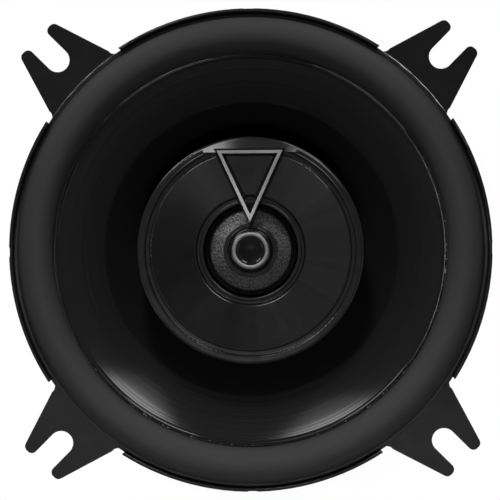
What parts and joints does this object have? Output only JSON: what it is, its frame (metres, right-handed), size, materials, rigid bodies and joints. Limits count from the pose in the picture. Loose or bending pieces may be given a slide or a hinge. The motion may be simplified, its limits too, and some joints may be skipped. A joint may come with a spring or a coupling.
{
  "type": "coaxial car speaker",
  "caption": "Round coaxial car speaker: woofer cone on a rubber surround, dome tweeter carried on a post through the pole, forked mounting ears, and blade terminals.",
  "frame": {"origin": "on the speaker's axis, in the plane of the mounting flange's rear face, at the centre of the four ear slots", "axes": "+Z out of the cone towards the listener; +Y towards the flat side of the tweeter's triangle; -Y towards the terminals; the ears lie on the diagonals"},
  "size_m": [0.102, 0.102, 0.0494],
  "materials": {
    "basket_steel": "black electrocoat, satin",
    "zinc_steel": "bright zinc plate",
    "plate_steel": "turned steel, zinc plated",
    "ferrite": "ground sintered ferrite",
    "boot_rubber": "moulded, fine matt grain",
    "cone_poly": "satin polypropylene with fine turned rings",
    "surround_rubber": "smooth butyl rubber",
    "spider_cloth": "resin-stiffened woven cotton",
    "former_kapton": "thin rolled aluminium foil",
    "copper_wire": "enamelled round wire",
    "braid": "woven tinsel braid",
    "tweeter_abs": "black moulded plastic, satin",
    "trim_silver": "satin silver plating",
    "dome_silk": "coated silk, grey",
    "neodymium": "nickel plated magnet",
    "felt": "pressed felt",
    "board_laminate": "phenolic paper laminate",
    "tinned_brass": "tin plated brass strip",
    "capacitor_sleeve": "shrink sleeve over an aluminium can",
    "lead_wire": "tinned copper wire",
    "wire_insulation": "PVC insulation"
  },
  "bodies": {
    "frame": {"basket": "basket_steel", "basket_rivets": "zinc_steel", "top_plate": "plate_steel", "ferrite_magnet": "ferrite", "pole_yoke": "plate_steel", "magnet_boot": "boot_rubber", "tweeter_faceplate": "tweeter_abs", "tweeter_cup": "tweeter_abs", "trim_triangle": "trim_silver", "trim_ring": "trim_silver", "tweeter_yoke": "plate_steel", "tweeter_magnet": "neodymium", "tweeter_pole_cap": "plate_steel", "tweeter_damping_pad": "felt", "tweeter_post": "zinc_steel", "post_nut": "zinc_steel", "terminal_board": "board_laminate", "terminal_positive": "tinned_brass", "terminal_negative": "tinned_brass", "terminal_rivets": "tinned_brass", "capacitor": "capacitor_sleeve", "capacitor_leads": "lead_wire", "tweeter_leads": "wire_insulation"},
    "cone_assembly": {"cone": "cone_poly", "surround": "surround_rubber", "spider": "spider_cloth", "voice_coil_former": "former_kapton", "voice_coil_winding": "copper_wire", "tinsel_leads": "braid"},
    "tweeter_diaphragm": {"tweeter_dome": "dome_silk", "tweeter_surround": "dome_silk", "tweeter_coil_former": "former_kapton", "tweeter_coil_winding": "copper_wire"}
  },
  "joints": [
    {"name": "woofer_excursion", "type": "slide", "parent": "frame", "child": "cone_assembly", "axis": [0, 0, 1], "range_m": [-0.003, 0.003], "deforming": ["surround", "spider", "tinsel_leads"]},
    {"name": "tweeter_excursion", "type": "slide", "parent": "frame", "child": "tweeter_diaphragm", "axis": [0, 0, 1], "range_m": [-0.0003, 0.0003], "deforming": ["tweeter_surround"]}
  ]
}
